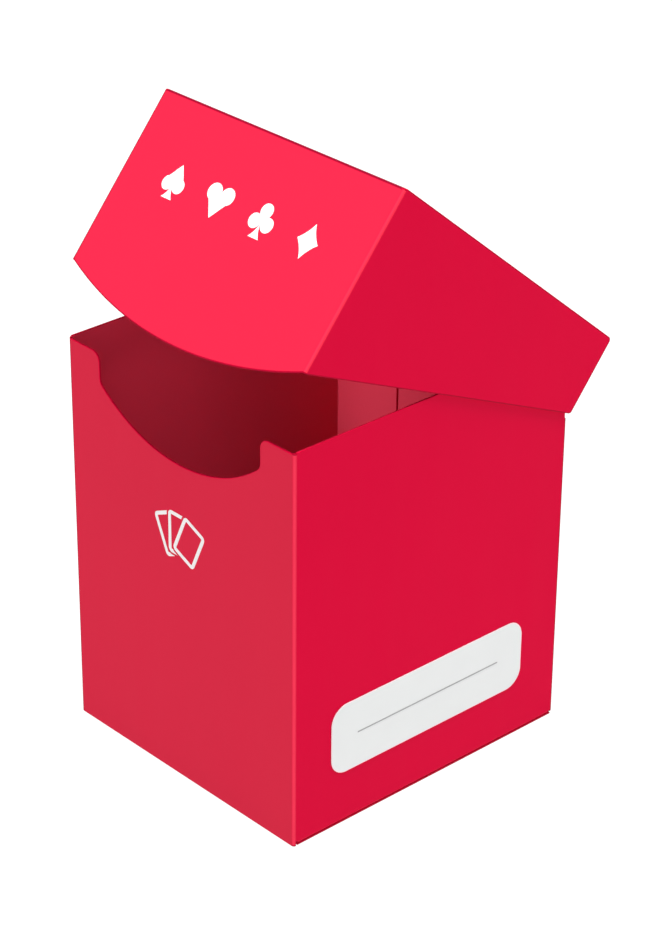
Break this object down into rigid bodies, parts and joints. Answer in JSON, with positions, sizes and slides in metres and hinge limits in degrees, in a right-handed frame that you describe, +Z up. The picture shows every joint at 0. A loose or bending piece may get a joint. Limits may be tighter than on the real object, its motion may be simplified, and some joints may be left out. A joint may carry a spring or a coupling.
{
  "type": "card deck box",
  "caption": "Hinged-lid box for a deck of sleeved trading cards, folded from one red plastic sheet, with a thumb notch and a write-on label.",
  "frame": {"origin": "centre of the base's underside", "axes": "+X to the box's right seen from its front, +Y towards the lid's hinge at the back, +Z up"},
  "size_m": [0.075, 0.0954, 0.1462],
  "materials": {
    "red_polypropylene": "fine matte grain, smooth creases",
    "white_label_film": "satin write-on film",
    "white_print": "screen print",
    "grey_print": "printed line"
  },
  "bodies": {
    "body": {"front_panel": "red_polypropylene", "right_side_panel": "red_polypropylene", "left_side_panel": "red_polypropylene", "back_panel": "red_polypropylene", "bottom_panel": "red_polypropylene", "rear_glue_tab": "red_polypropylene", "bottom_glue_flap": "red_polypropylene", "right_dust_flap": "red_polypropylene", "left_dust_flap": "red_polypropylene", "front_right_fold": "red_polypropylene", "front_left_fold": "red_polypropylene", "back_right_fold": "red_polypropylene", "back_left_fold": "red_polypropylene", "bottom_back_fold": "red_polypropylene", "bottom_front_fold": "red_polypropylene", "right_dust_fold": "red_polypropylene", "left_dust_fold": "red_polypropylene", "write_on_label": "white_label_film", "label_rule_line": "grey_print", "body_print": "white_print", "lid_hinge": "red_polypropylene"},
    "lid": {"lid_back_panel": "red_polypropylene", "lid_top_panel": "red_polypropylene", "lid_front_panel": "red_polypropylene", "lid_right_side_panel": "red_polypropylene", "lid_left_side_panel": "red_polypropylene", "lid_top_back_fold": "red_polypropylene", "lid_top_front_fold": "red_polypropylene", "lid_right_fold": "red_polypropylene", "lid_left_fold": "red_polypropylene", "lid_right_back_tab": "red_polypropylene", "lid_left_back_tab": "red_polypropylene", "lid_right_back_tab_fold": "red_polypropylene", "lid_left_back_tab_fold": "red_polypropylene", "lid_right_top_tab": "red_polypropylene", "lid_left_top_tab": "red_polypropylene", "lid_right_top_tab_fold": "red_polypropylene", "lid_left_top_tab_fold": "red_polypropylene", "lid_print": "white_print"}
  },
  "joints": [
    {"name": "lid_swing", "type": "hinge", "parent": "body", "child": "lid", "pos_m": [0, 0.04045, 0.078], "axis": [-1, 0, 0], "range_deg": [-39.8, 130], "deforming": ["lid_hinge"]}
  ]
}
